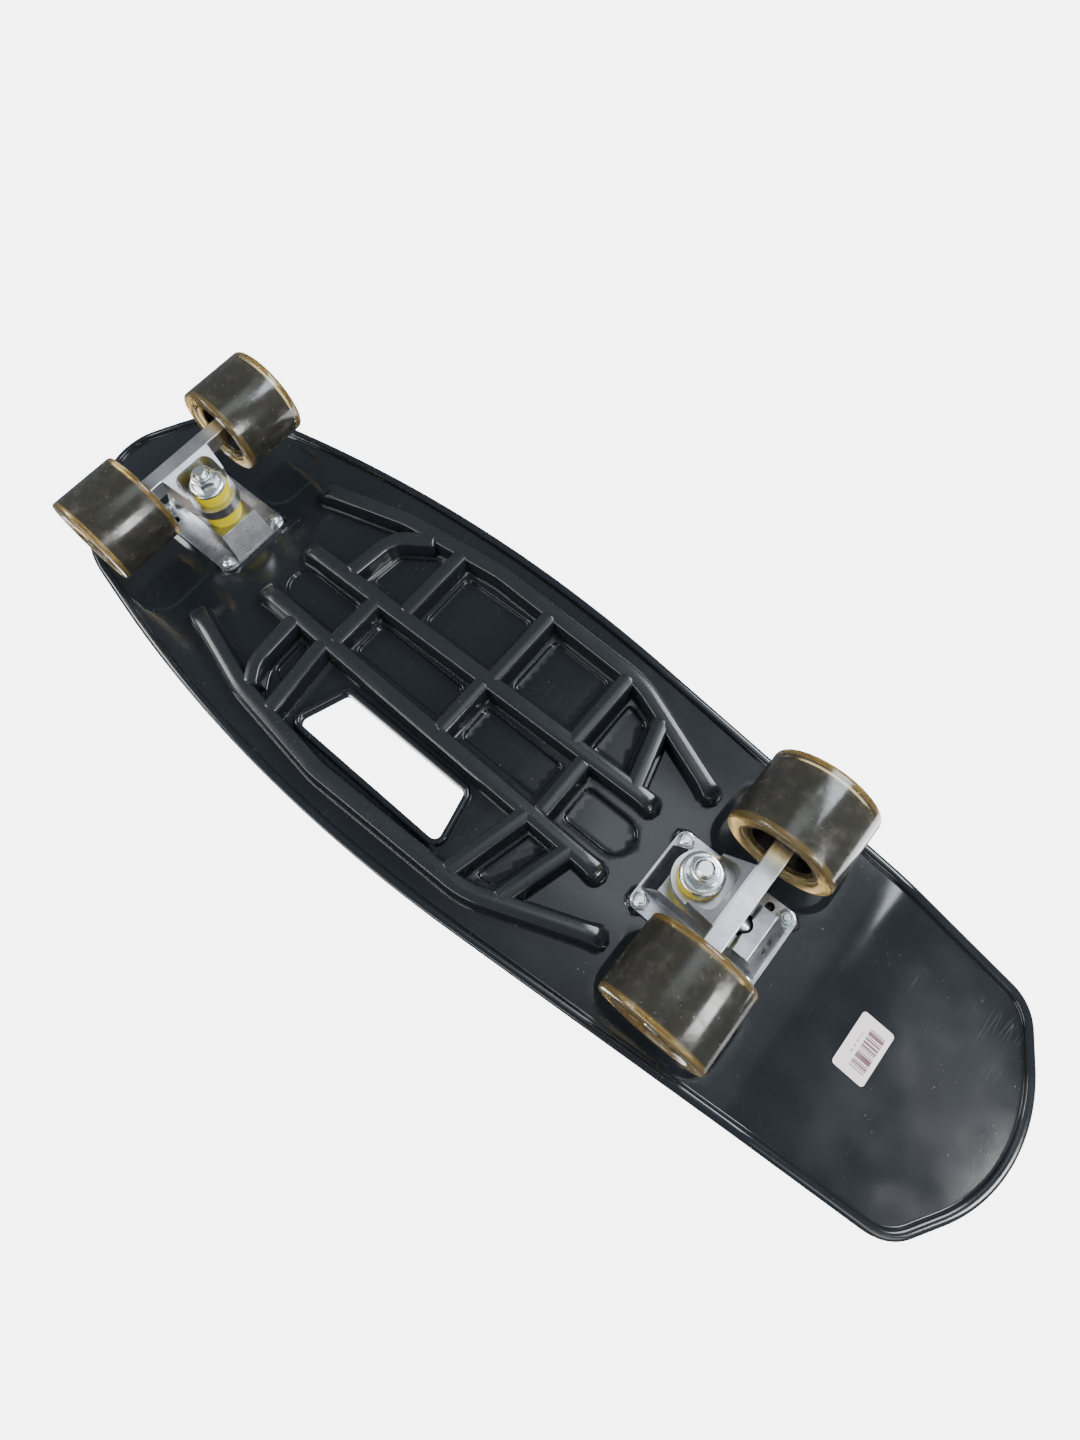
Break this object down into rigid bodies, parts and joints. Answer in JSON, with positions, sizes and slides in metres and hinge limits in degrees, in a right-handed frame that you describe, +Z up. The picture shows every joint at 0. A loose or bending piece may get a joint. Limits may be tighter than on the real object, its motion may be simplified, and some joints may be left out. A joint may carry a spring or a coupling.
{
  "type": "skateboard",
  "caption": "Moulded plastic cruiser skateboard with a ribbed underside, kicktail, carrying slot, two steering kingpin trucks and clear urethane wheels on ball bearings.",
  "frame": {"origin": "on the ground midway along and across the deck, wheels down", "axes": "+X to the nose, +Y to the board's left side, +Z up"},
  "size_m": [0.6859, 0.2064, 0.1113],
  "materials": {
    "deck_plastic": "glossy injection-moulded black plastic with light scratches",
    "label_paper": "off-white paper label with plain faded bars",
    "cast_alloy": "polished cast alloy, satin on the bar",
    "black_urethane": "black urethane cup",
    "yellow_urethane": "bright yellow urethane, slightly translucent",
    "zinc_steel": "bright zinc-plated steel",
    "bearing_steel": "ground bearing steel",
    "cage_nylon": "natural nylon",
    "smoke_urethane": "clear smoky amber urethane, scratched",
    "core_plastic": "black moulded plastic core"
  },
  "bodies": {
    "board": {"deck": "deck_plastic", "tail_label": "label_paper", "rear_base_plate": "cast_alloy", "rear_pivot_cup": "black_urethane", "rear_kingpin": "zinc_steel", "rear_kingpin_nut": "zinc_steel", "rear_bushing_lower": "yellow_urethane", "rear_bushing_upper": "yellow_urethane", "rear_cup_washer_lower": "zinc_steel", "rear_cup_washer_upper": "zinc_steel", "rear_mount_screws": "zinc_steel", "rear_mount_nuts": "zinc_steel", "front_base_plate": "cast_alloy", "front_pivot_cup": "black_urethane", "front_kingpin": "zinc_steel", "front_kingpin_nut": "zinc_steel", "front_bushing_lower": "yellow_urethane", "front_bushing_upper": "yellow_urethane", "front_cup_washer_lower": "zinc_steel", "front_cup_washer_upper": "zinc_steel", "front_mount_screws": "zinc_steel", "front_mount_nuts": "zinc_steel"},
    "rear_truck": {"rear_hanger": "cast_alloy", "rear_axle": "zinc_steel", "rear_axle_nuts": "zinc_steel", "rear_speed_washers": "zinc_steel", "rear_inner_races": "bearing_steel", "rear_bearing_spacers": "bearing_steel"},
    "front_truck": {"front_hanger": "cast_alloy", "front_axle": "zinc_steel", "front_axle_nuts": "zinc_steel", "front_speed_washers": "zinc_steel", "front_inner_races": "bearing_steel", "front_bearing_spacers": "bearing_steel"},
    "rear_left_wheel": {"rear_left_tyre": "smoke_urethane", "rear_left_core": "core_plastic", "rear_left_outer_races": "bearing_steel", "rear_left_shields": "bearing_steel"},
    "rear_left_ball_set": {"rear_left_balls": "bearing_steel", "rear_left_cages": "cage_nylon"},
    "rear_right_wheel": {"rear_right_tyre": "smoke_urethane", "rear_right_core": "core_plastic", "rear_right_outer_races": "bearing_steel", "rear_right_shields": "bearing_steel"},
    "rear_right_ball_set": {"rear_right_balls": "bearing_steel", "rear_right_cages": "cage_nylon"},
    "front_left_wheel": {"front_left_tyre": "smoke_urethane", "front_left_core": "core_plastic", "front_left_outer_races": "bearing_steel", "front_left_shields": "bearing_steel"},
    "front_left_ball_set": {"front_left_balls": "bearing_steel", "front_left_cages": "cage_nylon"},
    "front_right_wheel": {"front_right_tyre": "smoke_urethane", "front_right_core": "core_plastic", "front_right_outer_races": "bearing_steel", "front_right_shields": "bearing_steel"},
    "front_right_ball_set": {"front_right_balls": "bearing_steel", "front_right_cages": "cage_nylon"}
  },
  "joints": [
    {"name": "rear_steer", "type": "hinge", "parent": "board", "child": "rear_truck", "pos_m": [-0.1484, 0, 0.046], "axis": [-0.8362, 0, 0.5484], "range_deg": [-9, 9], "stiffness_Nm_per_rad": 70, "deforming": ["rear_bushing_lower", "rear_bushing_upper"]},
    {"name": "front_steer", "type": "hinge", "parent": "board", "child": "front_truck", "pos_m": [0.2204, 0, 0.046], "axis": [0.8362, 0, 0.5484], "range_deg": [-9, 9], "stiffness_Nm_per_rad": 70, "deforming": ["front_bushing_lower", "front_bushing_upper"]},
    {"name": "rear_left_spin", "type": "hinge", "parent": "rear_truck", "child": "rear_left_wheel", "pos_m": [-0.171, 0.0515, 0.0295], "axis": [0, 1, 0], "continuous": true},
    {"name": "rear_left_cage_turn", "type": "hinge", "parent": "rear_truck", "child": "rear_left_ball_set", "pos_m": [-0.171, 0.0515, 0.0295], "axis": [0, 1, 0], "continuous": true},
    {"name": "rear_right_spin", "type": "hinge", "parent": "rear_truck", "child": "rear_right_wheel", "pos_m": [-0.171, -0.0515, 0.0295], "axis": [0, 1, 0], "continuous": true},
    {"name": "rear_right_cage_turn", "type": "hinge", "parent": "rear_truck", "child": "rear_right_ball_set", "pos_m": [-0.171, -0.0515, 0.0295], "axis": [0, 1, 0], "continuous": true},
    {"name": "front_left_spin", "type": "hinge", "parent": "front_truck", "child": "front_left_wheel", "pos_m": [0.243, -0.0515, 0.0295], "axis": [0, 1, 0], "continuous": true},
    {"name": "front_left_cage_turn", "type": "hinge", "parent": "front_truck", "child": "front_left_ball_set", "pos_m": [0.243, -0.0515, 0.0295], "axis": [0, 1, 0], "continuous": true},
    {"name": "front_right_spin", "type": "hinge", "parent": "front_truck", "child": "front_right_wheel", "pos_m": [0.243, 0.0515, 0.0295], "axis": [0, 1, 0], "continuous": true},
    {"name": "front_right_cage_turn", "type": "hinge", "parent": "front_truck", "child": "front_right_ball_set", "pos_m": [0.243, 0.0515, 0.0295], "axis": [0, 1, 0], "continuous": true}
  ],
  "couplings": [
    {"joint": "rear_left_cage_turn", "follows": "rear_left_spin", "ratio": 0.6323},
    {"joint": "rear_right_cage_turn", "follows": "rear_right_spin", "ratio": 0.6323},
    {"joint": "front_left_cage_turn", "follows": "front_left_spin", "ratio": 0.6323},
    {"joint": "front_right_cage_turn", "follows": "front_right_spin", "ratio": 0.6323}
  ]
}
